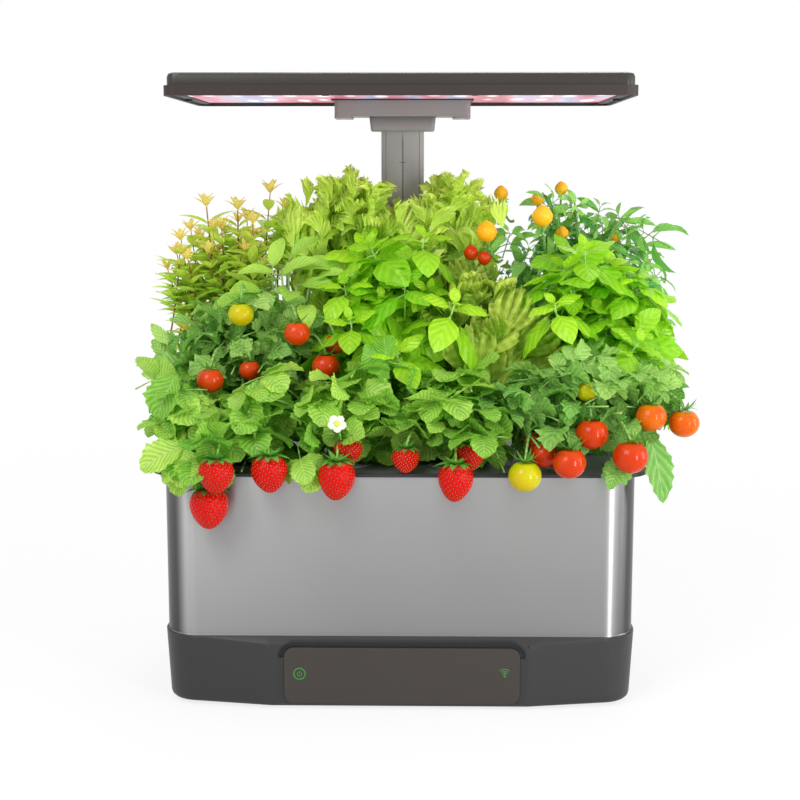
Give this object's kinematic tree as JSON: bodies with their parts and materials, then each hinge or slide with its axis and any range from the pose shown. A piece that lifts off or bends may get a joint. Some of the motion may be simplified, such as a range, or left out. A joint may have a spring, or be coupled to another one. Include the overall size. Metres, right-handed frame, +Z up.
{
  "type": "countertop hydroponic garden",
  "caption": "Steel-clad water tank with planted pods in its deck, a touch fascia on the base and an LED grow lamp on a telescopic mast.",
  "frame": {"origin": "on the table, at the centre of the foot under the tank's middle", "axes": "+Z up, +X to the right as seen from the front, the front with the touch fascia faces -Y"},
  "size_m": [0.5017, 0.3279, 0.564],
  "materials": {
    "base_plastic": "fine satin grain",
    "fastener_steel": "plain",
    "foot_rubber": "dull",
    "fascia_plastic": "smooth",
    "indicator_green": "translucent",
    "circuit_board": "lacquered",
    "black_plastic": "moulded",
    "lead_sheath": "satin",
    "tank_plastic": "moulded",
    "band_steel": "brushed",
    "rim_plastic": "satin",
    "pump_plastic": "moulded",
    "filter_foam": "open foam",
    "impeller_plastic": "smooth",
    "riser_plastic": "smooth",
    "mast_dark": "satin",
    "mast_light": "satin",
    "bracket_plastic": "satin",
    "brim_plastic": "satin",
    "cover_plastic": "satin",
    "led_board_white": "coated",
    "heat_sink_aluminium": "extruded",
    "lens_plastic": "clear",
    "white_led": "lit",
    "red_led": "lit",
    "blue_led": "lit",
    "deck_plastic": "satin",
    "clear_plastic": "clear",
    "float_red": "smooth",
    "sponge_foam": "open foam",
    "strawberry_leaf": "leaf",
    "tomato_leaf": "leaf",
    "basil_leaf": "glossy leaf",
    "lettuce_leaf": "crisp leaf",
    "pepper_leaf": "glossy leaf",
    "herb_leaf": "leaf",
    "strawberry_skin": "glossy",
    "tomato_skin_red": "glossy",
    "tomato_skin_yellow": "glossy",
    "pepper_skin": "glossy"
  },
  "bodies": {
    "garden_body": {"base_housing": "base_plastic", "base_cover": "base_plastic", "base_screws": "fastener_steel", "rubber_feet": "foot_rubber", "touch_fascia": "fascia_plastic", "power_ring": "indicator_green", "control_board": "circuit_board", "power_inlet": "black_plastic", "board_lead": "lead_sheath", "water_tank": "tank_plastic", "steel_band": "band_steel", "rim_trim": "rim_plastic", "drain_plug": "foot_rubber", "pump_housing": "pump_plastic", "pump_cover": "pump_plastic", "pump_filter": "filter_foam", "pump_shaft": "fastener_steel", "riser_tube": "riser_plastic", "pump_lead": "lead_sheath", "pump_grommet": "foot_rubber", "mast_outer": "mast_dark", "outer_bush": "mast_dark", "mast_screws": "fastener_steel", "lamp_lead": "lead_sheath"},
    "key": {"power_key": "fascia_plastic"},
    "impeller": {"pump_impeller": "impeller_plastic"},
    "middle_stage": {"mast_middle": "mast_light", "middle_bush": "mast_dark"},
    "lamp": {"mast_inner": "mast_light", "mast_head": "bracket_plastic", "lamp_bracket": "bracket_plastic", "bracket_screws": "fastener_steel", "lamp_frame": "brim_plastic", "lamp_cover": "cover_plastic", "led_board": "led_board_white", "heat_sink": "heat_sink_aluminium", "lamp_lens": "lens_plastic", "white_leds": "white_led", "red_leds": "red_led", "blue_leds": "blue_led", "lamp_screws": "fastener_steel"},
    "deck": {"grow_deck": "deck_plastic", "lid_pin": "fastener_steel", "float_cage": "clear_plastic", "pod_baskets": "deck_plastic", "grow_sponges": "sponge_foam", "pod_collars": "deck_plastic", "strawberry_plants": "strawberry_leaf", "tomato_plants": "tomato_leaf", "basil_plants": "basil_leaf", "lettuce_plants": "lettuce_leaf", "pepper_plant": "pepper_leaf", "red_tip_herb": "herb_leaf", "strawberries": "strawberry_skin", "red_tomatoes": "tomato_skin_red", "ripening_tomatoes": "tomato_skin_yellow", "peppers": "pepper_skin"},
    "flap": {"fill_lid": "deck_plastic"},
    "float": {"level_float": "float_red"}
  },
  "joints": [
    {"name": "power_key_press", "type": "slide", "parent": "garden_body", "child": "key", "axis": [0, 1, 0], "range_m": [0, 0.0008], "stiffness_N_per_m": 500},
    {"name": "impeller_spin", "type": "hinge", "parent": "garden_body", "child": "impeller", "pos_m": [0.096, 0.01, 0.0766], "axis": [0, 1, 0], "continuous": true},
    {"name": "mast_middle_slide", "type": "slide", "parent": "garden_body", "child": "middle_stage", "axis": [0, 0, 1], "range_m": [0, 0.04], "deforming": ["lamp_lead"]},
    {"name": "mast_inner_slide", "type": "slide", "parent": "middle_stage", "child": "lamp", "axis": [0, 0, 1], "range_m": [-0.03, 0.1], "deforming": ["lamp_lead"]},
    {"name": "deck_lift", "type": "slide", "parent": "garden_body", "child": "deck", "axis": [0, 0, 1], "range_m": [0, 0.03]},
    {"name": "fill_flap_hinge", "type": "hinge", "parent": "deck", "child": "flap", "pos_m": [0.2021, 0, 0.2158], "axis": [0, 1, 0], "range_deg": [0, 100]},
    {"name": "level_float_rise", "type": "slide", "parent": "deck", "child": "float", "axis": [0, 0, 1], "range_m": [0, 0.03]}
  ]
}
